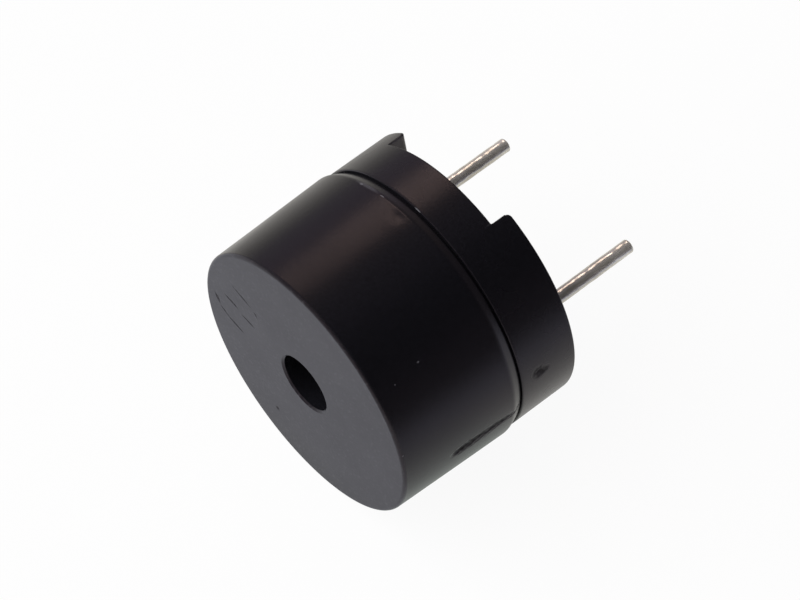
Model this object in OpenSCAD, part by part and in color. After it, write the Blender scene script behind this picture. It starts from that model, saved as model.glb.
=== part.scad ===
// Round through-hole piezo buzzer: two-piece moulded housing, sounder element, two solder pins.
// Origin: centre of the seating plane. +Z points out of the sound hole, the pins lie on the X axis.

/* [Housing] */
// Outer diameter of the front case at its rear rim
case_d = 12; // [11.9:0.05:13]
// Inward run of the drafted wall between its rim and the front face
draft_w = 0.15; // [0.05:0.01:0.3]
// Height from the seating plane to the front face
body_h = 8.5; // [8:0.1:11]
// Height of the seam between case and base above the seating plane
seam_h = 2.75; // [2.6:0.05:3.4]
// Thickness of the wall round the sound hole
front_wall = 1; // [0.7:0.1:1.4]
// Thickness of the case wall at its rear rim
side_wall = 0.8; // [0.7:0.05:0.9]
// Rounding of the front outer edge
front_edge_r = 0.15; // [0.05:0.05:0.3]
// Height of the bevel round the rear rim of the case
rim_bevel_h = 0.4; // [0.2:0.05:0.7]
// Inward run of that bevel
rim_bevel_w = 0.18; // [0.06:0.02:0.2]

/* [Sound port] */
// Diameter of the sound hole
port_d = 2.5; // [1.5:0.1:4]
// Bevel on the outer edge of the sound hole
port_bevel = 0.08; // [0.04:0.02:0.2]
// Depth of the resonance chamber behind the front wall
chamber_depth = 1.1; // [0.7:0.1:1.6]
// Width of the ledge that carries the sound plate
ledge_w = 0.6; // [0.4:0.05:0.7]

/* [Base] */
// Step from the rim of the case in to the wall of the base
base_inset = 0.1; // [0.04:0.02:0.16]
// Thickness of the base floor
floor_t = 1; // [0.7:0.05:1.2]
// Height of the feet behind the floor
foot_h = 0.85; // [0.5:0.05:1]
// Radial width of the feet
foot_w = 0.9; // [0.6:0.05:1.2]
// Width of the straight notch between the feet
notch_w = 6; // [4:0.1:7]
// Rounding of the foot corners beside the notch
foot_corner_r = 0.2; // [0.05:0.05:0.4]
// Rounding of the outer rear edge
foot_edge_r = 0.06; // [0.04:0.02:0.25]
// Height of the spigot that plugs into the case
spigot_h = 1.2; // [0.6:0.1:1.4]
// Thickness of the spigot
spigot_t = 0.6; // [0.4:0.05:0.7]
// Bevel that leads the spigot into the case
spigot_bevel = 0.15; // [0.05:0.05:0.3]
// Radial clearance between spigot and case
spigot_gap = 0.04; // [0.02:0.01:0.1]
// Open height of the seam groove
seam_gap = 0.09; // [0.04:0.01:0.15]
// Depth of the seam groove from the outside of the base
seam_gap_depth = 0.2; // [0.1:0.02:0.3]

/* [Pins] */
// Diameter of the pins
pin_d = 0.6; // [0.4:0.05:0.8]
// Growth of the tapered pin root in diameter, from the seating plane up to the collar
root_swell = 0.06; // [0.02:0.02:0.2]
// Distance between the pin centres
pin_pitch = 7.6; // [6.4:0.1:7.8]
// Length of the pin on the +X side below the seating plane
pin_tail_a = 4.7; // [2.5:0.1:8]
// Length of the pin on the -X side below the seating plane
pin_tail_b = 5; // [2.5:0.1:8]
// Rounding of the cut pin ends
pin_end_r = 0.1; // [0.04:0.02:0.15]
// Diameter of the collar that seats on the floor
collar_d = 1; // [0.9:0.05:1.2]
// Thickness of the collar
collar_t = 0.25; // [0.15:0.05:0.4]
// Length of pin above the collar
stub_h = 0.8; // [0.5:0.05:1]
// Loss of diameter along that tapered stub
stub_taper = 0.1; // [0.02:0.02:0.2]
// Radial clearance of the pin roots in their holes
pin_gap = 0.02; // [0.01:0.01:0.05]
// Room kept clear round each collar inside the base
collar_room = 0.2; // [0.1:0.05:0.3]

/* [Sounder element] */
// Gap between the edge of the brass sound plate and the case wall
plate_gap = 0.2; // [0.1:0.02:0.3]
// Thickness of the brass sound plate
plate_t = 0.12; // [0.08:0.01:0.2]
// Width of bare brass between the ceramic disc and the silicone
bare_brass_w = 1.22; // [0.8:0.02:2]
// Thickness of the ceramic disc
ceramic_t = 0.15; // [0.1:0.01:0.25]
// Width of bare ceramic round the silver electrode
bare_ceramic_w = 0.3; // [0.1:0.05:0.8]
// Thickness of the silver electrode
electrode_t = 0.03; // [0.02:0.01:0.06]
// Thickness of silicone between ledge and plate
bond_t = 0.1; // [0.06:0.02:0.2]
// Distance that the silicone stays back from the inner edge of the ledge
bond_setback = 0.12; // [0.06:0.02:0.18]
// Height of the silicone fillet behind the plate
bond_drop = 0.45; // [0.3:0.05:0.7]

/* [Leads] */
// Diameter of the lead wires
wire_d = 0.22; // [0.14:0.02:0.28]
// Radius of the bends in the lead wires
wire_bend_r = 0.45; // [0.3:0.05:0.6]
// Straight length of wire between the solder and the first bend
wire_clear = 0.1; // [0.05:0.05:0.4]
// Bare brass left on either side of the brass joint
joint_gap = 0.16; // [0.08:0.02:0.3]
// Diameter of the solder joint on the silver
silver_joint_d = 0.9; // [0.6:0.05:1.2]
// Height of the solder joints on the sounder element
joint_h = 0.35; // [0.2:0.05:0.4]
// Wall of solder round the pin stubs
stub_solder_t = 0.12; // [0.08:0.02:0.2]
// Length of pin stub that the solder covers
stub_solder_len = 0.48; // [0.3:0.02:0.5]
// Height that the solder climbs up the wire
stub_solder_rise = 0.36; // [0.2:0.02:0.5]
// Distance of the silver joint from the axis
silver_joint_r = 1.5; // [1:0.1:1.8]
// Direction of the brass joint, from the +X pin towards +Y
brass_joint_a = 52; // [40:1:75]

/* [Hidden] */
$fn = 96;
eps = 0.01;

// Housing levels, from the seating plane up
floor_low = foot_h;
floor_top = floor_low + floor_t;
spigot_top = seam_h + spigot_h;
chamber_top = body_h - front_wall;
ledge_z = chamber_top - chamber_depth;

// Housing radii
rim_r = case_d / 2;
front_r = rim_r - draft_w;
base_r = rim_r - base_inset;
bore_r = rim_r - side_wall;
chamber_r = bore_r - ledge_w;
spigot_r = bore_r - spigot_gap;
spigot_in_r = spigot_r - spigot_t;
foot_in_r = base_r - foot_w;
groove_r = base_r - seam_gap_depth;

// Levels of the sounder element, from the ledge down
plate_top = ledge_z - bond_t;
plate_low = plate_top - plate_t;
ceramic_low = plate_low - ceramic_t;
electrode_low = ceramic_low - electrode_t;
plate_r = bore_r - plate_gap;
bond_in_r = chamber_r + bond_setback;
ceramic_r = bond_in_r - bare_brass_w;
electrode_r = ceramic_r - bare_ceramic_w;

// Pins, wires and their joints
collar_top = floor_top + collar_t;
stub_top = collar_top + stub_h;
pin_x = pin_pitch / 2;
root_d = pin_d + root_swell;
stub_solder_low = stub_top - stub_solder_len;
stub_solder_top = stub_top + stub_solder_rise;
run_z = stub_solder_top + wire_clear + wire_bend_r;
// the brass joint sits midway on the bare brass between ceramic and silicone
brass_joint_r = (ceramic_r + bond_in_r) / 2;
brass_joint_d = bare_brass_w - 2 * joint_gap;
brass_joint = brass_joint_r * [cos(brass_joint_a), sin(brass_joint_a)];
silver_joint = [-silver_joint_r, 0];

// Colours of the materials
black_plastic = "#1c1c1e";
tin = "#8d8377";
brass = "#b8964a";
ceramic_grey = "#8a8a80";
silver = "#c9cbcc";
silicone = "#d9d8d2";
copper_enamel = "#8c3f1f";
solder = "#a9abad";

// Half section of the case: drafted outer wall, rounded front edge, bevelled rim, bore, ledge and chamber
module case_section() {
    difference() {
        union() {
            polygon([[0, seam_h], [rim_r - rim_bevel_w, seam_h], [rim_r, seam_h + rim_bevel_h],
                [front_r, body_h - front_edge_r], [front_r - front_edge_r, body_h], [0, body_h]]);
            translate([front_r - front_edge_r, body_h - front_edge_r]) circle(front_edge_r);
        }
        translate([-eps, seam_h - eps]) square([bore_r + eps, ledge_z - seam_h + eps]);
        translate([-eps, ledge_z - eps]) square([chamber_r + eps, chamber_depth + eps]);
        translate([-eps, chamber_top - eps]) square([port_d / 2 + eps, front_wall + 2 * eps]);
        polygon([[port_d / 2 - eps, body_h - port_bevel - eps], [port_d / 2 + port_bevel + eps, body_h + eps],
            [port_d / 2 - eps, body_h + eps]]);
    }
}

module front_case() {
    color(black_plastic) rotate_extrude() case_section();
}

// Half section of the base before it is hollowed: floor, feet, outer wall with seam groove and the spigot
module base_section() {
    polygon([[0, floor_low], [foot_in_r, floor_low], [foot_in_r, 0], [base_r - foot_edge_r, 0],
        [base_r, foot_edge_r], [base_r, seam_h - seam_gap], [groove_r, seam_h - seam_gap], [groove_r, seam_h],
        [spigot_r, seam_h], [spigot_r, spigot_top - spigot_bevel], [spigot_r - spigot_bevel, spigot_top],
        [0, spigot_top]]);
    intersection() {
        translate([base_r - foot_edge_r, foot_edge_r]) circle(foot_edge_r);
        translate([base_r - foot_edge_r, 0]) square(foot_edge_r);
    }
}

// Outline of the notch across the feet, with rounded foot corners; x across, y up
module notch_outline() {
    half = notch_w / 2;
    translate([-half, -eps]) square([notch_w, foot_h + eps]);
    for (side = [-1, 1]) scale([side, 1]) difference() {
        translate([half - eps, -eps]) square([foot_corner_r + eps, foot_corner_r + eps]);
        translate([half + foot_corner_r, foot_corner_r]) circle(foot_corner_r);
    }
}

module rear_base() {
    color(black_plastic) difference() {
        rotate_extrude() base_section();
        translate([0, case_d, 0]) rotate([90, 0, 0]) linear_extrude(2 * case_d) notch_outline();
        translate([0, 0, floor_top]) linear_extrude(spigot_top) {
            circle(spigot_in_r);
            for (side = [-1, 1]) translate([side * pin_x, 0]) circle(d = collar_d + 2 * collar_room);
        }
        for (side = [-1, 1]) translate([side * pin_x, 0, -eps])
            cylinder(d1 = pin_d + 2 * pin_gap, d2 = root_d + 2 * pin_gap, h = floor_top + 2 * eps);
    }
}

// Radius of the tapered stub at height z
function stub_r(z) = (pin_d - stub_taper * (z - collar_top) / stub_h) / 2;

// One solder pin: rounded cut end, straight tail, tapered root, collar on the floor and a stub for the wire
module pin(side, tail) {
    r = pin_d / 2;
    translate([side * pin_x, 0, 0]) rotate_extrude() {
        difference() {
            polygon([[0, -tail], [r, -tail], [r, 0], [root_d / 2, floor_top], [collar_d / 2, floor_top],
                [collar_d / 2, collar_top], [r, collar_top], [stub_r(stub_top), stub_top], [0, stub_top]]);
            difference() {
                translate([r - pin_end_r, -tail - eps]) square(pin_end_r + eps);
                translate([r - pin_end_r, -tail + pin_end_r]) circle(pin_end_r);
                translate([r - pin_end_r - eps, -tail + pin_end_r]) square(2 * pin_end_r);
            }
        }
    }
}

module pin_a() {
    color(tin) pin(1, pin_tail_a);
}

module pin_b() {
    color(tin) pin(-1, pin_tail_b);
}

// Flat round disc with its lower face at height z
module disc(d, t, z) {
    translate([0, 0, z]) cylinder(d = d, h = t);
}

module sound_plate() {
    color(brass) disc(2 * plate_r, plate_t, plate_low);
}

module ceramic_disc() {
    color(ceramic_grey) disc(2 * ceramic_r, ceramic_t, ceramic_low);
}

module silver_electrode() {
    color(silver) disc(2 * electrode_r, electrode_t, electrode_low);
}

// Silicone wraps the edge of the plate, fills its gap to the wall and seats it on the ledge
module silicone_bead() {
    color(silicone) rotate_extrude()
        polygon([[bond_in_r, ledge_z], [bore_r, ledge_z], [bore_r, plate_low - bond_drop], [bond_in_r, plate_low],
            [plate_r, plate_low], [plate_r, plate_top], [bond_in_r, plate_top]]);
}

// Quarter bend of wire in the XZ plane, centred on the origin, from angle a to a + 90
module quarter_bend(a) {
    rotate([90, 0, 0]) rotate([0, 0, a]) rotate_extrude(angle = 90) translate([wire_bend_r, 0]) circle(d = wire_d);
}

// Wire that rises from a pin stub, runs level and rises again to a joint on the sounder element
module lead(from, to, top_z) {
    reach = norm(to - from);
    level = reach - 2 * wire_bend_r;
    translate([from[0], from[1], 0]) rotate([0, 0, atan2(to[1] - from[1], to[0] - from[0])]) {
        translate([0, 0, stub_top]) cylinder(d = wire_d, h = run_z - wire_bend_r - stub_top);
        translate([wire_bend_r, 0, run_z - wire_bend_r]) quarter_bend(90);
        translate([wire_bend_r, 0, run_z]) rotate([0, 90, 0]) cylinder(d = wire_d, h = level);
        translate([wire_bend_r + level, 0, run_z + wire_bend_r]) quarter_bend(270);
        translate([reach, 0, run_z + wire_bend_r]) cylinder(d = wire_d, h = top_z - run_z - wire_bend_r);
    }
}

module lead_wire_a() {
    color(copper_enamel) lead([pin_x, 0], brass_joint, plate_low);
}

module lead_wire_b() {
    color(copper_enamel) lead([-pin_x, 0], silver_joint, electrode_low);
}

// Solder that climbs from the pin stub onto the foot of the wire
module stub_solder(side) {
    w = wire_d / 2;
    mid = (stub_solder_low + stub_top) / 2;
    translate([side * pin_x, 0, 0]) rotate_extrude()
        polygon([[stub_r(stub_solder_low), stub_solder_low], [stub_r(mid) + stub_solder_t, mid],
            [stub_r(stub_top) + stub_solder_t, stub_top],
            [w + stub_solder_t / 2, (stub_top + stub_solder_top) / 2],
            [w, stub_solder_top], [w, stub_top], [stub_r(stub_top), stub_top]]);
}

module stub_solder_a() {
    color(solder) stub_solder(1);
}

module stub_solder_b() {
    color(solder) stub_solder(-1);
}

// Domed solder joint under the sounder element, round the end of a wire
module domed_joint(at, top_z, joint_d) {
    // sphere through the rim of the joint and its lowest point
    sphere_r = (joint_d * joint_d / 4 + joint_h * joint_h) / (2 * joint_h);
    translate([at[0], at[1], top_z]) rotate_extrude() intersection() {
        translate([0, sphere_r - joint_h]) circle(sphere_r);
        translate([wire_d / 2, -joint_h]) square([joint_d, joint_h]);
    }
}

module brass_solder() {
    color(solder) domed_joint(brass_joint, plate_low, brass_joint_d);
}

module silver_solder() {
    color(solder) domed_joint(silver_joint, electrode_low, silver_joint_d);
}

front_case();
rear_base();
pin_a();
pin_b();
sound_plate();
ceramic_disc();
silver_electrode();
silicone_bead();
lead_wire_a();
lead_wire_b();
stub_solder_a();
stub_solder_b();
brass_solder();
silver_solder();
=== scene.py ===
"""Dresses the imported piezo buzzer: moulded housing, tinned pins, sounder element, table, light and camera."""
from math import radians

import bmesh
import bpy
import numpy as np
from mathutils import Matrix, Vector


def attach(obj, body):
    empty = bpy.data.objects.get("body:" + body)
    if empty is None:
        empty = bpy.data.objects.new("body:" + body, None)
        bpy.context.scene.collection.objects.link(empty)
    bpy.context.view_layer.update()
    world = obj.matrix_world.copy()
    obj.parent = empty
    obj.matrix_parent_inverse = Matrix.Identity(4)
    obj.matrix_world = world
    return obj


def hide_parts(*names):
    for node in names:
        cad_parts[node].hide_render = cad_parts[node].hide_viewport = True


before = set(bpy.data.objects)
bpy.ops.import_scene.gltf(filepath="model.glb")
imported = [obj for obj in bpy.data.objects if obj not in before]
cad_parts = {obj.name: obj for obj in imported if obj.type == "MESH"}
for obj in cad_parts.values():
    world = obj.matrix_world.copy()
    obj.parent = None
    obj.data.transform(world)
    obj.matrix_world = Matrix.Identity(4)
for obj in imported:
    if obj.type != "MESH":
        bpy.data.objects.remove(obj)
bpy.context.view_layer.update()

MM = 0.001

# Sizes of the solids in millimetres, the same as in the part's source
RIM_R, FRONT_R, BORE_R, CHAMBER_R = 6.0, 5.85, 5.2, 4.6
FRONT_Z, SEAM_Z, LEDGE_Z, CHAMBER_Z = 8.5, 2.75, 6.4, 7.5
RIM_BEVEL_H, RIM_BEVEL_W, FRONT_EDGE_R = 0.4, 0.18, 0.15
PORT_R, PORT_BEVEL = 1.25, 0.08
BASE_R, FOOT_IN_R, GROOVE_R, SPIGOT_R, SPIGOT_IN_R = 5.9, 5.0, 5.7, 5.16, 4.56
FLOOR_LOW, FLOOR_TOP, SPIGOT_Z, SEAM_GAP, SPIGOT_BEVEL = 0.85, 1.85, 3.95, 0.09, 0.15
NOTCH_HALF, FOOT_CORNER_R, FOOT_EDGE_R = 3.0, 0.2, 0.06
PIN_X, PIN_R, PIN_END_R, ROOT_R, COLLAR_R, STUB_R = 3.8, 0.3, 0.1, 0.33, 0.5, 0.25
COLLAR_Z, STUB_Z, PIN_GAP = 2.1, 2.9, 0.02
TAIL_A, TAIL_B = 4.7, 5.0

# Roundings that only the finer mouldings have, in millimetres
SMALL_R, RIM_EDGE_R, BASE_TOP_R = 0.03, 0.4, 0.04
NOTCH_EDGE_R, FOOT_WALL_R, FOOT_TIP_R = 0.04, 0.07, 0.12
FOOT_DRAFT = 0.02

# Columns of the case's grid: close together within so many degrees of the gate scar, wide apart elsewhere
SCAR_WINDOW, SCAR_COLUMNS, CASE_COLUMNS = 6, 97, 300
# Columns of the base's grid in one quarter: notch, wall of the foot, its rounded corner and the foot
NOTCH_COLUMNS, WALL_COLUMNS, CORNER_COLUMNS, FOOT_COLUMNS = 26, 9, 8, 40
# Columns of the pin holes and their turn in degrees, then columns and tail rows of the pins
HOLE_COLUMNS, HOLE_TURN, PIN_COLUMNS, TAIL_ROWS = 64, 2, 72, 110

# Marks on the mouldings: angles round the axis in degrees, the rest in millimetres
GATE_SCAR_ANGLE, GATE_SCAR_LOW, GATE_SCAR_TOP = -14.8, 3.15, 6.25
SCAR_HALF_W, SCAR_BULGE, SCAR_WANDER, SCAR_RUN_OUT = 0.16, 0.14, 0.05, 0.25
SCAR_DEPTH_LOW, SCAR_DEPTH_GAIN = 0.03, 0.05
SINK_ANGLE, SINK_Z, SINK_DEPTH, SINK_R_SQUARED = 82.0, 3.42, 0.02, 0.06
SEAM_OPEN_ANGLE, SEAM_TILT, SEAM_DROP = 115.0, 0.05, 0.03
SEAT_MARGIN, SEAT_FADE = 0.02, 0.07
GATE_PIT_ANGLE, GATE_PIT_Z, GATE_PIT_DEPTH, GATE_PIT_HALF_W, GATE_PIT_HALF_H = -2.9, 1.76, 0.06, 0.13, 0.17
FLOW_DEPTH, COAT_DEPTH, COAT_FADE_TOP, COAT_FADE_END = 0.004, 0.02, 0.3, 0.12

# Uneven surfaces as cosines: waves per unit of the first and second coordinate, and phase
FLOW_WAVES = [(3, 0.9, 0.4), (5, -1.3, 1.9), (8, 2.1, 4.0)]
TORN_WAVES = [(31, 9, 0.3), (-17, 23, 2.0), (47, -13, 1.1), (11, 41, 3.7)]

# Points nearer than this, in millimetres, are one point; edges that turn by more degrees than this are sharp
WELD_GAP, SHARP_TURN = 0.0004, 32

# A Mix node's two colour inputs and its colour output, then its two value inputs
COLOUR_A, COLOUR_B, COLOUR_OUT, VALUE_A, VALUE_B = 6, 7, 2, 2, 3


def closed_section(corners):
    """Closed section in (radius, height): each corner (r, z, arc radius, cuts) becomes an arc of six points
    tangent to both neighbours, and the straight run after it is cut at cosine spacing, close at its ends
    and wide in its middle."""
    c = np.array(corners, float)
    p, arc, cuts = c[:, :2], c[:, 2:3], c[:, 3].astype(int)
    back, on = np.roll(p, 1, 0) - p, np.roll(p, -1, 0) - p
    back /= np.linalg.norm(back, axis=1, keepdims=True)
    on /= np.linalg.norm(on, axis=1, keepdims=True)
    half = np.arccos(np.clip((back * on).sum(1, keepdims=True), -1, 1)) / 2
    centre = p + (back + on) / np.linalg.norm(back + on, axis=1, keepdims=True) * arc / np.sin(half)
    start, end = p + back * arc / np.tan(half) - centre, p + on * arc / np.tan(half) - centre
    sweep = (np.pi - 2 * half)[:, None, :]
    w = np.linspace(0, 1, 6)[None, :, None]
    spoke = np.sin((1 - w) * sweep) * start[:, None] + np.sin(w * sweep) * end[:, None]
    arcs = centre[:, None] + spoke / np.sin(sweep)
    run_from, run_to = arcs[:, -1], np.roll(arcs[:, 0], -1, 0)
    share = [(1 - np.cos(np.pi * np.arange(1, n) / n)) / 2 for n in cuts]
    return np.concatenate([np.vstack([a, f + s[:, None] * (t - f)])
                           for a, f, t, s in zip(arcs, run_from, run_to, share)])


def turned(radius, height, angle, centre=(0.0, 0.0)):
    """Points at a radius and angle about an upright axis: x = cx + r cos a, y = cy + r sin a, z = height."""
    radius, height, angle = np.broadcast_arrays(radius, height, angle)
    return np.stack([centre[0] + radius * np.cos(angle), centre[1] + radius * np.sin(angle), height], axis=-1)


def grid_piece(name, points, loop):
    """Mesh of a grid of points in millimetres, rows by columns: each cell is a quad, the last column joins
    the first, and the last row joins the first where the section is a loop; points that meet on the axis
    are welded."""
    rows, columns = points.shape[:2]
    index = np.arange(rows * columns).reshape(rows, columns)
    index = np.hstack([index, index[:, :1]])
    index = np.vstack([index, index[:1]]) if loop else index
    quads = np.stack([index[:-1, :-1], index[:-1, 1:], index[1:, 1:], index[1:, :-1]], axis=-1).reshape(-1, 4)
    mesh = bpy.data.meshes.new(name)
    mesh.vertices.add(rows * columns)
    mesh.vertices.foreach_set("co", (points.reshape(-1) * MM).astype(np.float32))
    mesh.loops.add(quads.size)
    mesh.loops.foreach_set("vertex_index", quads.reshape(-1).astype(np.int32))
    mesh.polygons.add(len(quads))
    mesh.polygons.foreach_set("loop_start", np.arange(0, quads.size, 4, dtype=np.int32))
    mesh.update(calc_edges=True)
    welded = bmesh.new()
    welded.from_mesh(mesh)
    bmesh.ops.remove_doubles(welded, verts=welded.verts, dist=WELD_GAP * MM)
    bmesh.ops.recalc_face_normals(welded, faces=welded.faces)
    welded.to_mesh(mesh)
    welded.free()
    mesh.polygons.foreach_set("use_smooth", np.ones(len(mesh.polygons), bool))
    mesh.set_sharp_from_angle(angle=radians(SHARP_TURN))
    piece = bpy.data.objects.new(name, mesh)
    bpy.context.scene.collection.objects.link(piece)
    return piece


def ripple(u, v, waves):
    """Smooth uneven value between 0 and 1: the mean of cosines, each with its own waves per unit of u and v
    and its phase."""
    total = sum(np.cos(a * u + b * v + c) for a, b, c in waves)
    return 0.5 + 0.5 * total / len(waves)


def front_case_shell():
    """Cup of the front case: its rounded section turned about the axis. The wall sinks in by up to 4
    microns in broad waves and by 20 in a small round sink mark; the torn gate scar is a ragged groove along
    the wall, deepest on its own line; the rear rim rises by 0.02 mm on one side and drops by 0.08 on the
    other, as the case is pressed home askew, and is level inside the seam groove, where it seats on the
    base."""
    section = closed_section([
        (PORT_R, CHAMBER_Z, SMALL_R, 8), (PORT_R, FRONT_Z - PORT_BEVEL, SMALL_R, 3),
        (PORT_R + PORT_BEVEL, FRONT_Z, SMALL_R, 36), (FRONT_R, FRONT_Z, FRONT_EDGE_R, 70),
        (RIM_R, SEAM_Z + RIM_BEVEL_H, RIM_EDGE_R, 12), (RIM_R - RIM_BEVEL_W, SEAM_Z, SMALL_R, 4),
        (BORE_R, SEAM_Z, SMALL_R, 8), (BORE_R, LEDGE_Z, SMALL_R, 3), (CHAMBER_R, LEDGE_Z, SMALL_R, 4),
        (CHAMBER_R, CHAMBER_Z, SMALL_R, 8)])
    scar = radians(GATE_SCAR_ANGLE)
    near = np.linspace(scar - radians(SCAR_WINDOW), scar + radians(SCAR_WINDOW), SCAR_COLUMNS)
    far = np.linspace(near[-1], near[0] + 2 * np.pi, CASE_COLUMNS)[1:-1]
    angle = np.concatenate([near, far])[None, :]
    r, z = section[:, :1], section[:, 1:]
    # 1 on the outer wall, down to the corner of the rim, and 0 elsewhere
    wall = ((r > RIM_R - RIM_BEVEL_W - 0.05) & (z < FRONT_Z - FRONT_EDGE_R)).astype(float)
    wave = FLOW_DEPTH * ripple(angle, z, FLOW_WAVES)
    across = (angle - scar) * RIM_R
    along = np.clip((z - GATE_SCAR_LOW) / (GATE_SCAR_TOP - GATE_SCAR_LOW), 0, 1)
    torn = ripple(across, z, TORN_WAVES)
    width = (SCAR_HALF_W + SCAR_BULGE * np.sin(np.pi * along ** 1.6) ** 0.8) * (0.6 + 0.8 * torn)
    inside = np.clip(1 - np.abs(across + SCAR_WANDER * torn) / width, 0, 1)
    ends = np.clip((GATE_SCAR_TOP - z) / SCAR_RUN_OUT, 0, 1)
    groove = (SCAR_DEPTH_LOW + SCAR_DEPTH_GAIN * along) * inside * ends * (0.35 + 1.1 * torn)
    from_sink = ((angle - radians(SINK_ANGLE)) * RIM_R) ** 2 + (z - SINK_Z) ** 2
    sink = SINK_DEPTH * np.exp(-from_sink / SINK_R_SQUARED)
    rise = SEAM_TILT * np.cos(angle - radians(SEAM_OPEN_ANGLE)) - SEAM_DROP
    rise = rise * np.clip((SEAM_Z + RIM_BEVEL_H - z) / RIM_BEVEL_H, 0, 1)
    rise = rise * np.clip((r - GROOVE_R - SEAT_MARGIN) / SEAT_FADE, 0, 1)
    return grid_piece("front_case_shell", turned(r - wall * (wave + groove + sink), z + rise, angle), True)


def foot_outline():
    """One quarter of the rear outline, from the middle of the notch to the middle of a foot: the distance
    past the foot wall, the height of the edge, the inward direction of the edge, the size of its rounding
    and the share of the notch's or foot's arc, one value a column. The first column of the wall meets the
    last of the notch, so both have the notch's rounding."""
    turn = np.linspace(0, np.pi / 2, CORNER_COLUMNS + 1)[1:]
    past = np.concatenate([np.zeros(NOTCH_COLUMNS + WALL_COLUMNS), FOOT_CORNER_R * (1 - np.cos(turn)),
                           np.full(FOOT_COLUMNS, FOOT_CORNER_R)])
    edge = np.concatenate([np.full(NOTCH_COLUMNS, FLOOR_LOW),
                           np.linspace(FLOOR_LOW, FOOT_CORNER_R, WALL_COLUMNS),
                           FOOT_CORNER_R * (1 - np.sin(turn)), np.zeros(FOOT_COLUMNS)])
    inward = np.concatenate([np.tile([0.0, 1.0], (NOTCH_COLUMNS, 1)), np.tile([1.0, 0.0], (WALL_COLUMNS, 1)),
                             np.stack([np.cos(turn), np.sin(turn)], 1),
                             np.tile([0.0, 1.0], (FOOT_COLUMNS, 1))])
    rounding = np.concatenate([np.full(NOTCH_COLUMNS + 1, NOTCH_EDGE_R),
                               np.full(WALL_COLUMNS - 1, FOOT_WALL_R),
                               np.linspace(FOOT_TIP_R, FOOT_EDGE_R, CORNER_COLUMNS),
                               np.full(FOOT_COLUMNS, FOOT_EDGE_R)])
    share = np.concatenate([np.linspace(0, 1, NOTCH_COLUMNS), np.ones(WALL_COLUMNS + CORNER_COLUMNS),
                            np.linspace(1, 0, FOOT_COLUMNS)])
    return past, edge, inward, rounding, share


def base_plug():
    """Rear base: a section that changes round the axis. Each column of the grid has its own edge height, so
    the arc feet end at flat walls across the notch; from the edge the section runs up the outer wall, the
    seam groove and the spigot. One quarter is worked out and turned over into the other three. The broken
    gate leaves a pit 0.06 mm deep in the outer wall, flat inside and steep at its edge."""
    past, edge, inward, rounding, share = foot_outline()
    in_notch = np.arange(len(share)) < NOTCH_COLUMNS
    plain = np.linspace(np.pi / 2, 0, len(share))

    def column_angle(radius, past):
        """Angle at which a column crosses a radius: arccos of its distance from the notch's middle over the
        radius."""
        wall = np.arccos(np.clip((NOTCH_HALF + past) / np.clip(radius, FOOT_IN_R, BASE_R), -1, 1))
        return np.where(in_notch, np.pi / 2 - share * (np.pi / 2 - wall), share * wall)

    # rows of the grid, each with its radius, height and angle: floor, inner wall of the feet, edge,
    # rounding, wall
    rows = []
    for k in np.concatenate([np.linspace(0, 0.9, 10), [0.97, 0.995]]):
        rows.append((FOOT_IN_R * k, FLOOR_LOW, column_angle(FOOT_IN_R, past)))
    for k in np.linspace(0, 1, 9):
        r = FOOT_IN_R + FOOT_DRAFT * k
        rows.append((r, FLOOR_LOW + (edge - FLOOR_LOW) * k, column_angle(r, past)))
    for k in np.linspace(0, 1, 7)[1:]:
        r = FOOT_IN_R + FOOT_DRAFT + k * (BASE_R - rounding - FOOT_IN_R - FOOT_DRAFT)
        rows.append((r, edge, column_angle(r, past)))
    for a in np.linspace(0, np.pi / 2, 8)[1:]:
        r = BASE_R - rounding * (1 - np.sin(a))
        step = rounding * (1 - np.cos(a))
        rows.append((r, edge + inward[:, 1] * step, column_angle(r, past + inward[:, 0] * step)))
    low, first = edge + inward[:, 1] * rounding, column_angle(BASE_R, past + inward[:, 0] * rounding)
    top, turn = SEAM_Z - SEAM_GAP, BASE_TOP_R
    for k in np.linspace(0, 1, 30)[1:]:
        rows.append((BASE_R, low + (top - turn - low) * k, first + (plain - first) * k ** 0.6))
    rows += [(r, z, plain) for r, z in (
        (BASE_R - turn / 8, top - turn / 2), (BASE_R - turn / 2, top - turn / 8), (BASE_R - turn, top),
        (GROOVE_R, top), (GROOVE_R, SEAM_Z), (SPIGOT_R, SEAM_Z), (SPIGOT_R, SPIGOT_Z - SPIGOT_BEVEL),
        (SPIGOT_R - SPIGOT_BEVEL, SPIGOT_Z), (SPIGOT_IN_R, SPIGOT_Z), (SPIGOT_IN_R, FLOOR_TOP),
        (2.0, FLOOR_TOP), (0.0, FLOOR_TOP))]
    radius, height, angle = (np.array([np.broadcast_to(value, past.shape) for value in values])
                             for values in zip(*rows))
    there, back = slice(None, -1), slice(None, 0, -1)
    angle = np.concatenate([angle[:, back], np.pi - angle[:, there], np.pi + angle[:, back],
                            2 * np.pi - angle[:, there]], 1)
    radius, height = (np.concatenate([v[:, back], v[:, there]] * 2, 1) for v in (radius, height))
    beside_gate = (np.mod(angle - radians(GATE_PIT_ANGLE) + np.pi, 2 * np.pi) - np.pi) * BASE_R
    from_pit = (beside_gate / GATE_PIT_HALF_W) ** 4 + ((height - GATE_PIT_Z) / GATE_PIT_HALF_H) ** 4
    pit = GATE_PIT_DEPTH * np.exp(-from_pit) * (radius > GROOVE_R)
    return drilled(grid_piece("base_plug", turned(radius - pit, height, angle), False))


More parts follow.
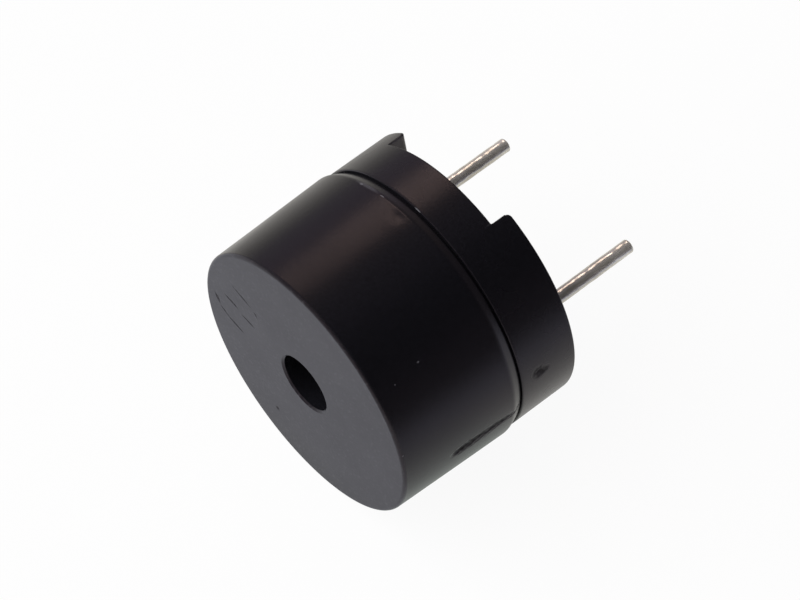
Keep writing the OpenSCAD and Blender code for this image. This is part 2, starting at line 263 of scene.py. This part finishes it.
def drilled(piece):
    """The base with a hole through its floor for each pin: a cone about the pin's axis, wider than the
    pin's root by its clearance, is taken away from the piece. The cone is turned by 2 degrees, so that none
    of its edges meets a column."""
    angle = np.linspace(0, 2 * np.pi, HOLE_COLUMNS + 1)[None, :-1] + radians(HOLE_TURN)
    # the cone reaches past both faces of the floor
    low, top = FLOOR_LOW - 0.3, FLOOR_TOP + 0.1
    height = np.array([[low], [low], [top], [top]])
    on_wall = np.array([[0.0], [1.0], [1.0], [0.0]])
    radius = (PIN_R + PIN_GAP + (ROOT_R - PIN_R) * height / FLOOR_TOP) * on_wall
    for side in (-1, 1):
        cone = grid_piece("pin_hole", turned(radius, height, angle, (side * PIN_X, 0.0)), False)
        hole = piece.modifiers.new("pin_hole", "BOOLEAN")
        hole.operation, hole.solver, hole.object = "DIFFERENCE", "EXACT", cone
        cut = piece.evaluated_get(bpy.context.evaluated_depsgraph_get())
        piece.data = bpy.data.meshes.new_from_object(cut)
        piece.modifiers.clear()
        bpy.data.objects.remove(cone)
    piece.data.set_sharp_from_angle(angle=radians(SHARP_TURN))
    return piece


def solder_pin(name, side, tail, phase):
    """Tinned pin: its section turned about the pin's own axis. The coat is drawn down the tail in uneven
    runs, so its radius falls short of the full one by up to 20 microns, less at the seating plane and at
    the cut end."""
    cut_end = np.array([(r, -tail) for r in (0.0, 0.1, 0.17, PIN_R - PIN_END_R)])
    bend = np.linspace(0, np.pi / 2, 9)[1:]
    end = np.stack([PIN_R - PIN_END_R + PIN_END_R * np.sin(bend), -tail + PIN_END_R * (1 - np.cos(bend))], 1)
    straight = np.stack([np.full(TAIL_ROWS, PIN_R), np.linspace(-tail + PIN_END_R, 0, TAIL_ROWS + 1)[1:]], 1)
    root = np.array([(ROOT_R, FLOOR_TOP), (COLLAR_R, FLOOR_TOP), (COLLAR_R, COLLAR_Z), (PIN_R, COLLAR_Z),
                     (STUB_R, STUB_Z), (0, STUB_Z)])
    section = np.concatenate([cut_end, end, straight, root])
    angle = np.linspace(0, 2 * np.pi, PIN_COLUMNS + 1)[None, :-1]
    r, z = section[:, :1], section[:, 1:]
    coat = ripple(angle, z, [(1, 1.7, phase), (2, -3.1, 2 * phase), (3, 5.3, 0.5 + phase), (-2, 8.9, 1.7),
                             (1, 13.1, 3 * phase), (4, -6.1, 0.9)])
    drawn = np.clip(-z / COAT_FADE_TOP, 0, 1) * np.clip((z + tail) / COAT_FADE_END, 0.25, 1)
    r = r - np.minimum(r, COAT_DEPTH * coat * drawn)
    return grid_piece(name, turned(r, z, angle, (side * PIN_X, 0.0)), False)


def tone(code):
    """Linear colour from an sRGB hex code."""
    c = np.array([int(code[i:i + 2], 16) for i in (1, 3, 5)]) / 255
    return (*np.where(c <= 0.04045, c / 12.92, ((c + 0.055) / 1.055) ** 2.4).tolist(), 1.0)


def add(tree, kind, inputs=None, stops=None, **settings):
    """Adds one node: its settings first, then the stops of its ramp, then each input as a value or a link."""
    made = tree.nodes.new(kind)
    for key, value in settings.items():
        setattr(made, key, value)
    for k, (place, code) in enumerate(stops or ()):
        stop = made.color_ramp.elements[k] if k < 2 else made.color_ramp.elements.new(place)
        stop.position, stop.color = place, tone(code)
    for key, value in (inputs or {}).items():
        if isinstance(value, bpy.types.NodeSocket):
            tree.links.new(value, made.inputs[key])
        else:
            made.inputs[key].default_value = value
    return made


def per_mm(size):
    """Scale of a pattern on Object coordinates, in metres, for a feature of this size in millimetres."""
    return 1 / (size * MM)


def new_material(name):
    """Empty node material with its output, its principled shader and Object coordinates."""
    made = bpy.data.materials.new(name)
    made.use_nodes = True
    tree = made.node_tree
    tree.nodes.clear()
    shader = add(tree, "ShaderNodeBsdfPrincipled")
    add(tree, "ShaderNodeOutputMaterial", {"Surface": shader.outputs["BSDF"]})
    place = add(tree, "ShaderNodeTexCoord").outputs["Object"]
    return made, tree, shader, place


def marks(tree, place, spots):
    """Strength of the strongest of several small marks: each is a soft ellipsoid with its centre, half
    sizes and turn about the upright axis, 1 in its middle and 0 at its edge."""
    strongest = None
    for centre, half, turn in spots:
        local = add(tree, "ShaderNodeMapping", {
            "Vector": place, "Location": Vector(centre) * MM, "Scale": Vector(half) * MM,
            "Rotation": (0.0, 0.0, radians(turn))}, vector_type="TEXTURE").outputs[0]
        spot = add(tree, "ShaderNodeTexGradient", {"Vector": local}, gradient_type="SPHERICAL").outputs["Fac"]
        strongest = spot if strongest is None else add(
            tree, "ShaderNodeMath", {0: strongest, 1: spot}, operation="MAXIMUM").outputs[0]
    return strongest


def shade_stroke(start, end, wide):
    """Straight dark stroke of painted shade on the front face, as a mark: centre, half sizes and turn of the
    line from start to end. The mark is longer and wider than the line, because it fades towards its edge."""
    (x0, y0), (x1, y1) = start, end
    half = (np.hypot(x1 - x0, y1 - y0) * 0.75, wide * 2.5, 0.2)
    return ((x0 + x1) / 2, (y0 + y1) / 2, FRONT_Z), half, np.degrees(np.arctan2(y1 - y0, x1 - x0))


def moulded_black_abs(name, tear_and_shade_marks, rub_and_reflection_marks, glint_marks, gloss):
    """ABS, injection moulded in black: a satin skin that mirrors the table softly and a little brown, with
    broad flow waves, fine grain, dark marks that have lost their gloss (tears, and strokes of painted shade),
    greyer patches (rubbed wear, and painted reflection), a few pale specks that are painted glints, and a
    duller front face with a thin film of dust."""
    made, tree, shader, place = new_material(name)
    flow = add(tree, "ShaderNodeTexNoise", {
        "Vector": place, "Scale": per_mm(1.6), "Detail": 2.0}).outputs["Fac"]
    # the mould's grain is about 0.03 mm and specks of dust are finer still: both are drawn coarser, so that
    # they show
    grain = add(tree, "ShaderNodeTexNoise", {
        "Vector": place, "Scale": per_mm(0.09), "Detail": 3.0}).outputs["Fac"]
    motes = add(tree, "ShaderNodeTexNoise", {
        "Vector": place, "Scale": per_mm(0.14), "Detail": 1.0}).outputs["Fac"]
    torn = add(tree, "ShaderNodeTexNoise", {
        "Vector": place, "Scale": per_mm(0.16), "Detail": 3.0}).outputs["Fac"]
    height = add(tree, "ShaderNodeSeparateXYZ", {"Vector": place}).outputs["Z"]
    face = add(tree, "ShaderNodeMapRange", {
        "Value": height, "From Min": (FRONT_Z - 0.1) * MM, "From Max": (FRONT_Z - 0.01) * MM}).outputs[0]
    tear_and_shade = add(tree, "ShaderNodeMapRange", {
        "Value": marks(tree, place, tear_and_shade_marks), "From Min": 0.1, "From Max": 0.5}).outputs[0]
    crumbled = add(tree, "ShaderNodeMapRange", {
        "Value": torn, "From Min": 0.38, "From Max": 0.58, "To Min": 0.4}).outputs[0]
    tear_and_shade = add(tree, "ShaderNodeMath", {0: tear_and_shade, 1: crumbled}, operation="MULTIPLY").outputs[0]
    rub_and_reflection = add(tree, "ShaderNodeMapRange", {
        "Value": marks(tree, place, rub_and_reflection_marks), "From Min": 0.1, "From Max": 0.6}).outputs[0]
    painted_glint = add(tree, "ShaderNodeMapRange", {
        "Value": marks(tree, place, glint_marks), "From Min": 0.35, "From Max": 0.6}).outputs[0]
    film = add(tree, "ShaderNodeMapRange", {
        "Value": motes, "From Min": 0.58, "From Max": 0.72, "To Max": 0.3}).outputs[0]
    film = add(tree, "ShaderNodeMath", {0: film, 1: face}, operation="MULTIPLY").outputs[0]
    skin = add(tree, "ShaderNodeValToRGB", {"Fac": grain}, [
        (0.3, "#101013"), (0.7, "#17171b")]).outputs["Color"]
    # the greyer patches are rubbed wear and painted reflection, the near-black is tears and painted shade, and
    # the palest grey is painted glints
    for cover, code in ((film, "#4a4a4d"), (rub_and_reflection, "#404043"), (tear_and_shade, "#0c0c0d"), (painted_glint, "#5c5c60")):
        skin = add(tree, "ShaderNodeMix", {
            "Factor": cover, COLOUR_A: skin, COLOUR_B: tone(code)}, data_type="RGBA").outputs[COLOUR_OUT]
    rough = add(tree, "ShaderNodeMapRange", {
        "Value": flow, "From Min": 0.1, "From Max": 0.9,
        "To Min": gloss - 0.03, "To Max": gloss + 0.03}).outputs[0]
    matt = add(tree, "ShaderNodeMath", {0: face, 1: 0.1}, operation="MULTIPLY").outputs[0]
    rough = add(tree, "ShaderNodeMath", {0: rough, 1: matt}, operation="ADD").outputs[0]
    rough = add(tree, "ShaderNodeMix", {"Factor": tear_and_shade, VALUE_A: rough, VALUE_B: 0.7}).outputs[0]
    fine = add(tree, "ShaderNodeBump", {"Height": grain, "Strength": 0.14, "Distance": 0.02 * MM}).outputs[0]
    broad = add(tree, "ShaderNodeBump", {
        "Height": flow, "Strength": 0.1, "Distance": 0.03 * MM, "Normal": fine}).outputs[0]
    cut = add(tree, "ShaderNodeBump", {
        "Height": tear_and_shade, "Strength": 0.5, "Distance": 0.03 * MM, "Normal": broad}, invert=True).outputs[0]
    tree.links.new(skin, shader.inputs["Base Color"])
    tree.links.new(rough, shader.inputs["Roughness"])
    tree.links.new(cut, shader.inputs["Normal"])
    shader.inputs["IOR"].default_value = 1.46
    shader.inputs["Specular Tint"].default_value = (1.0, 0.83, 0.82, 1.0)
    return made


def hot_dipped_tin(name):
    """Tin on copper wire, hot dipped: a warm pale metal, bright where the coat is thick, duller and browner
    in streaks along the wire where it is thin, with small pits. Its metallic value is below 1, matched to
    the milky streaks."""
    made, tree, shader, place = new_material(name)
    drawn = add(tree, "ShaderNodeMapping", {"Vector": place, "Scale": (1.0, 1.0, 0.35)}).outputs[0]
    streak = add(tree, "ShaderNodeTexNoise", {
        "Vector": drawn, "Scale": per_mm(0.3), "Detail": 3.0, "Roughness": 0.5}).outputs["Fac"]
    # pits in the tin are about 0.03 mm: drawn coarser, so that they show
    pits = add(tree, "ShaderNodeTexNoise", {
        "Vector": drawn, "Scale": per_mm(0.1), "Detail": 2.0}).outputs["Fac"]
    colour = add(tree, "ShaderNodeValToRGB", {"Fac": streak}, [
        (0.3, "#dad3c4"), (0.5, "#e9e3d6"), (0.7, "#f4efe4")]).outputs["Color"]
    rough = add(tree, "ShaderNodeMapRange", {
        "Value": streak, "From Min": 0.2, "From Max": 0.8, "To Min": 0.2, "To Max": 0.08}).outputs[0]
    dents = add(tree, "ShaderNodeBump", {"Height": pits, "Strength": 0.2, "Distance": 0.03 * MM}).outputs[0]
    runs = add(tree, "ShaderNodeBump", {
        "Height": streak, "Strength": 0.25, "Distance": 0.04 * MM, "Normal": dents}).outputs[0]
    tree.links.new(colour, shader.inputs["Base Color"])
    tree.links.new(rough, shader.inputs["Roughness"])
    tree.links.new(runs, shader.inputs["Normal"])
    shader.inputs["Metallic"].default_value = 0.62
    return made


def inner_finish(name, dark, pale, size, stretch, rough, metallic, bump):
    """Finish of a piece inside the housing: two tones mixed by a grain of one size in millimetres, which
    stretch draws out along an axis, with roughness and height from the same grain."""
    made, tree, shader, place = new_material(name)
    drawn = add(tree, "ShaderNodeMapping", {"Vector": place, "Scale": stretch}).outputs[0]
    grain = add(tree, "ShaderNodeTexNoise", {
        "Vector": drawn, "Scale": per_mm(size), "Detail": 4.0}).outputs["Fac"]
    colour = add(tree, "ShaderNodeValToRGB", {"Fac": grain}, [(0.3, dark), (0.7, pale)]).outputs["Color"]
    uneven = add(tree, "ShaderNodeMapRange", {
        "Value": grain, "From Min": 0.3, "From Max": 0.7,
        "To Min": rough + 0.08, "To Max": rough - 0.08}).outputs[0]
    raised = add(tree, "ShaderNodeBump", {
        "Height": grain, "Strength": bump, "Distance": 0.02 * MM}).outputs[0]
    tree.links.new(colour, shader.inputs["Base Color"])
    tree.links.new(uneven, shader.inputs["Roughness"])
    tree.links.new(raised, shader.inputs["Normal"])
    shader.inputs["Metallic"].default_value = metallic
    return made


def wear(piece, material):
    """The piece has this one material."""
    piece.data.materials.clear()
    piece.data.materials.append(material)


# The part lies on its side on the table: the way up there, the point where the case touches it
# in millimetres, and half the table's width in metres
TABLE_UP = Vector((0.187, 0.982, -0.021)).normalized()
TABLE_POINT = Vector((-0.187, -0.982, 0.0)).normalized() * (RIM_R + 0.004) + Vector((0.0, 0.0, 3.5))
TABLE_HALF = 2.0

# Camera at the photograph's viewing angle: place in millimetres, then its right, up and back directions
CAMERA_PLACE = (99.298, 126.733, 64.198)
CAMERA_TURN = ((0.63706, -0.13711, -0.75852), (-0.50882, 0.6644, -0.54743), (0.57902, 0.7347, 0.3535))
camera = bpy.data.objects.new("photo_camera", bpy.data.cameras.new("photo_camera"))
camera_turn = Matrix(CAMERA_TURN).transposed().to_4x4()
camera.matrix_world = Matrix.Translation(Vector(CAMERA_PLACE) * MM) @ camera_turn
camera.data.sensor_width, camera.data.lens, camera.data.clip_start = 36.0, 202.5, 0.01
bpy.context.scene.collection.objects.link(camera)
bpy.context.scene.camera = camera
bpy.context.scene.view_settings.view_transform = "Standard"

# Marks on the skin: dark strokes on the front face by their ends and width, painted shade that lies on a ring
# with a bar across it, where the edges of a shallow sign would be shaded; the rest by centre, half sizes and
# turn
edge_shade_strokes_and_speck = [
    shade_stroke((-4.33, 1.78), (-3.67, 1.54), 0.035), shade_stroke((-3.57, 2.78), (-2.71, 2.36), 0.03),
    shade_stroke((-4.85, 0.72), (-4.45, 0.40), 0.03), shade_stroke((-4.45, 0.40), (-3.70, 0.12), 0.035),
    shade_stroke((-3.42, 1.30), (-2.78, 1.10), 0.025), shade_stroke((-2.47, 2.19), (-2.34, 1.92), 0.025),
    shade_stroke((-5.07, 1.37), (-4.94, 0.91), 0.05), ((-2.43, -3.36, FRONT_Z), (0.13, 0.14, 0.2), 0.0)]
torn_gate = [
    ((5.76, -1.52, 5.45), (0.3, 0.32, 0.95), GATE_SCAR_ANGLE),
    ((5.79, -1.50, 4.3), (0.3, 0.26, 1.5), GATE_SCAR_ANGLE)]
# Pale specks on the case's wall, front rim and seam: painted glints
wall_glints = [
    ((4.89, 3.32, 6.34), (0.1, 0.06, 0.1), 34.0), ((4.97, 3.13, 7.56), (0.1, 0.05, 0.05), 32.0),
    ((5.83, 0.46, 8.38), (0.1, 0.06, 0.06), 5.0), ((-1.60, 5.77, 3.22), (0.16, 0.1, 0.09), 15.0),
    ((-0.36, 5.98, 3.2), (0.2, 0.1, 0.05), 4.0)]
rim_rub = [((-1.3, 5.84, 3.18), (0.9, 0.3, 0.12), 12.0)]
gate_pip = [((5.894, -0.27, 1.82), (0.2, 0.42, 0.42), -3.0), ((5.894, -0.34, 1.6), (0.2, 0.25, 0.4), -3.0)]
# Greyer tone on the four end walls of the notch: painted reflection of the table
notch_wall_reflection = [((side * NOTCH_HALF, end * 5.4, 0.4), (0.05, 1.4, 0.9), 0.0)
               for side in (-1, 1) for end in (-1, 1)]
# A short pale dash on the base's top edge in the seam: a painted glint
seam_glint = [((1.02, 5.81, 2.65), (0.3, 0.08, 0.05), -10.0)]

# Housing and pins take the place of their solids
case_abs = moulded_black_abs("black_abs_case", edge_shade_strokes_and_speck + torn_gate, rim_rub, wall_glints, 0.25)
base_abs = moulded_black_abs("black_abs_base", gate_pip, notch_wall_reflection, seam_glint, 0.27)
tin = hot_dipped_tin("hot_dipped_tin")
for piece, node, slot, material in (
        (front_case_shell(), "front_case", "case_plastic", case_abs),
        (base_plug(), "rear_base", "base_plastic", base_abs),
        (solder_pin("solder_pin_a", 1, TAIL_A, 0.6), "pin_a", "tinned_pin", tin),
        (solder_pin("solder_pin_b", -1, TAIL_B, 2.1), "pin_b", "tinned_pin", tin)):
    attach(piece, "root")
    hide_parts(node)
    wear(piece, material)

# Sounder element, wires and joints keep their solids' shapes; their real grain is finer and is drawn
# coarser to show
# Brass sheet, rolled: a yellow metal with fine lines along the rolling
brass = inner_finish("rolled_brass", "#a9883f", "#c9a85c", 0.12, (1.0, 0.08, 1.0), 0.3, 1.0, 0.1)
# Piezo ceramic, fired: a matt warm grey with a powdery grain
ceramic = inner_finish("fired_piezo_ceramic", "#7d7d72", "#96968b", 0.06, (1.0, 1.0, 1.0), 0.75, 0.0, 0.15)
# Silver paste, screen printed: a matt pale metal with short marks across the print
silver = inner_finish("printed_silver", "#b4b6b7", "#d3d5d6", 0.1, (0.3, 1.0, 1.0), 0.45, 1.0, 0.2)
# Silicone, laid from a nozzle and cured: milky white with slow swells and a soft shine
silicone = inner_finish("cured_silicone", "#cfcec7", "#e2e1dc", 0.5, (1.0, 1.0, 1.0), 0.4, 0.0, 0.3)
# Copper wire, enamelled: red-brown metal under a glossy coat
enamel = inner_finish("enamelled_copper", "#7a3014", "#9c4a24", 0.3, (1.0, 1.0, 1.0), 0.22, 0.6, 0.1)
# Tin solder, melted on: a bright grey metal, faintly frosted where it set
joint = inner_finish("bright_solder", "#97999b", "#bcbec0", 0.15, (1.0, 1.0, 1.0), 0.28, 1.0, 0.25)
for material, nodes in (
        (brass, ("sound_plate",)), (ceramic, ("ceramic_disc",)), (silver, ("silver_electrode",)),
        (silicone, ("silicone_bead",)), (enamel, ("lead_wire_a", "lead_wire_b")),
        (joint, ("stub_solder_a", "stub_solder_b", "brass_solder", "silver_solder"))):
    for node in nodes:
        wear(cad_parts[node], material)

# Table: a wide flat sheet, white to the camera with the part's shadow kept, clear from behind so that every
# side shows
across = TABLE_UP.cross(Vector((0.0, 0.0, 1.0))).normalized()
along = across.cross(TABLE_UP)
corners = [TABLE_POINT * MM + (across * a + along * b) * TABLE_HALF
           for a, b in ((-1, -1), (1, -1), (1, 1), (-1, 1))]
table_mesh = bpy.data.meshes.new("white_table")
table_mesh.from_pydata(corners, [], [(0, 1, 2, 3)])
if table_mesh.polygons[0].normal.dot(TABLE_UP) < 0:
    table_mesh.flip_normals()
table = bpy.data.objects.new("white_table", table_mesh)
bpy.context.scene.collection.objects.link(table)

# White card: matt and nearly even. To the part's gloss it shows graded greys of painted light and shade,
# matched to the sheen of the black skin: in the row beside the part a painted shadow close under it, and
# light that falls off to both sides. One row of tones beside the part, one behind its base and one ahead of
# its front face. The sizes are millimetres to each side of the axis, then heights where one row goes over
# into the next
GRADED_HALF, BEHIND_FROM, BEHIND_TO, AHEAD_FROM, AHEAD_TO = 70, 2.5, 0.5, 6.5, 9.5
# Share of the card that shines by itself to the camera and to gloss; the rest takes the part's shadow
SELF_LIT = 0.94
WHITE = (1.0, 1.0, 1.0, 1.0)
card, tree, shader, place = new_material("white_card")
fleck = add(tree, "ShaderNodeTexNoise", {"Vector": place, "Scale": per_mm(3.0)}).outputs["Fac"]
paper = add(tree, "ShaderNodeValToRGB", {"Fac": fleck}, [(0.3, "#fafaf9"), (0.7, "#fefefd")]).outputs["Color"]
tree.links.new(paper, shader.inputs["Base Color"])
shader.inputs["Roughness"].default_value = 0.9
ray = add(tree, "ShaderNodeLightPath").outputs
spot = add(tree, "ShaderNodeSeparateXYZ", {"Vector": place}).outputs
side = add(tree, "ShaderNodeMapRange", {
    "Value": spot["X"], "From Min": -GRADED_HALF * MM, "From Max": GRADED_HALF * MM}).outputs[0]
beside = add(tree, "ShaderNodeValToRGB", {"Fac": side}, [
    (0.0, "#a2a19c"), (0.3, "#cfcdc9"), (0.41, "#f2f0ea"), (0.515, "#bec5bd"), (0.56, "#cfd5d5"),
    (0.65, "#b4bbce"), (0.82, "#858a9e"), (1.0, "#616571")]).outputs["Color"]
behind = add(tree, "ShaderNodeValToRGB", {"Fac": side}, [
    (0.0, "#a2a19c"), (0.41, "#d6d4ce"), (0.54, "#dcdcd8"), (0.65, "#bdc4d7"), (0.82, "#9399ab"),
    (1.0, "#6f7380")]).outputs["Color"]
ahead = add(tree, "ShaderNodeValToRGB", {"Fac": side}, [
    (0.41, "#e4e8f2"), (0.53, "#d6d9e3")]).outputs["Color"]
rear = add(tree, "ShaderNodeMapRange", {
    "Value": spot["Z"], "From Min": BEHIND_FROM * MM, "From Max": BEHIND_TO * MM}).outputs[0]
front = add(tree, "ShaderNodeMapRange", {
    "Value": spot["Z"], "From Min": AHEAD_FROM * MM, "From Max": AHEAD_TO * MM}).outputs[0]
shown = beside
for cover, colour in ((rear, behind), (front, ahead), (ray["Is Camera Ray"], WHITE)):
    shown = add(tree, "ShaderNodeMix", {
        "Factor": cover, COLOUR_A: shown, COLOUR_B: colour}, data_type="RGBA").outputs[COLOUR_OUT]
glow = add(tree, "ShaderNodeEmission", {"Color": shown, "Strength": 1.0}).outputs[0]
share = add(tree, "ShaderNodeMath", {
    0: ray["Is Camera Ray"], 1: ray["Is Glossy Ray"]}, operation="MAXIMUM").outputs[0]
share = add(tree, "ShaderNodeMath", {0: share, 1: SELF_LIT}, operation="MULTIPLY").outputs[0]
lit = add(tree, "ShaderNodeMixShader", {0: share, 1: shader.outputs["BSDF"], 2: glow}).outputs[0]
below = add(tree, "ShaderNodeNewGeometry").outputs["Backfacing"]
clear = add(tree, "ShaderNodeBsdfTransparent").outputs[0]
both = add(tree, "ShaderNodeMixShader", {0: below, 1: lit, 2: clear}).outputs[0]
tree.links.new(both, tree.nodes["Material Output"].inputs["Surface"])
wear(table, card)

# Room: white to the camera; to the part it is a soft tent, dark on the side towards the camera and the pins
DARK_SIDE = Vector((0.70, 0.61, -0.35)).normalized()
world = bpy.data.worlds.new("soft_tent")
bpy.context.scene.world = world
world.use_nodes = True
tree = world.node_tree
tree.nodes.clear()
way = add(tree, "ShaderNodeTexCoord").outputs["Generated"]
facing = add(tree, "ShaderNodeVectorMath", {0: way, 1: DARK_SIDE}, operation="DOT_PRODUCT").outputs["Value"]
share = add(tree, "ShaderNodeMapRange", {"Value": facing, "From Min": -1.0, "From Max": 1.0}).outputs[0]
tent = add(tree, "ShaderNodeValToRGB", {"Fac": share}, [
    (0.0, "#f2f2f2"), (0.25, "#86848a"), (0.45, "#9a90a2"), (0.6, "#8e8486"), (0.74, "#6e686a"),
    (0.81, "#5e5c64"), (0.93, "#4a4852"), (0.99, "#242428")]).outputs["Color"]
seen = add(tree, "ShaderNodeLightPath").outputs["Is Camera Ray"]
colour = add(tree, "ShaderNodeMix", {
    "Factor": seen, COLOUR_A: tent, COLOUR_B: WHITE}, data_type="RGBA").outputs[COLOUR_OUT]
room = add(tree, "ShaderNodeBackground", {"Color": colour, "Strength": 1.0}).outputs[0]
add(tree, "ShaderNodeOutputWorld", {"Surface": room})

# A wide soft lamp above the front, and a warm window behind on the left that gloss shows; both face the part
LAMP_REACH = 0.55
for name, way, wide, high, watts, code, in_gloss in (
        ("front_lamp", (-0.25, 0.72, 0.65), 0.8, 0.8, 4.6, "#ffffff", False),
        ("warm_window", (-0.5, 0.79, -0.375), 0.3, 0.06, 0.105, "#ffeae0", True)):
    lamp = bpy.data.objects.new(name, bpy.data.lights.new(name, "AREA"))
    lamp.data.shape, lamp.data.size, lamp.data.size_y = "ELLIPSE", wide, high
    lamp.data.energy, lamp.data.color = watts, tone(code)[:3]
    lamp.location = Vector(way).normalized() * LAMP_REACH
    lamp.rotation_mode = "QUATERNION"
    lamp.rotation_quaternion = lamp.location.to_track_quat("Z", "Y")
    lamp.visible_camera, lamp.visible_glossy = False, in_gloss
    bpy.context.scene.collection.objects.link(lamp)
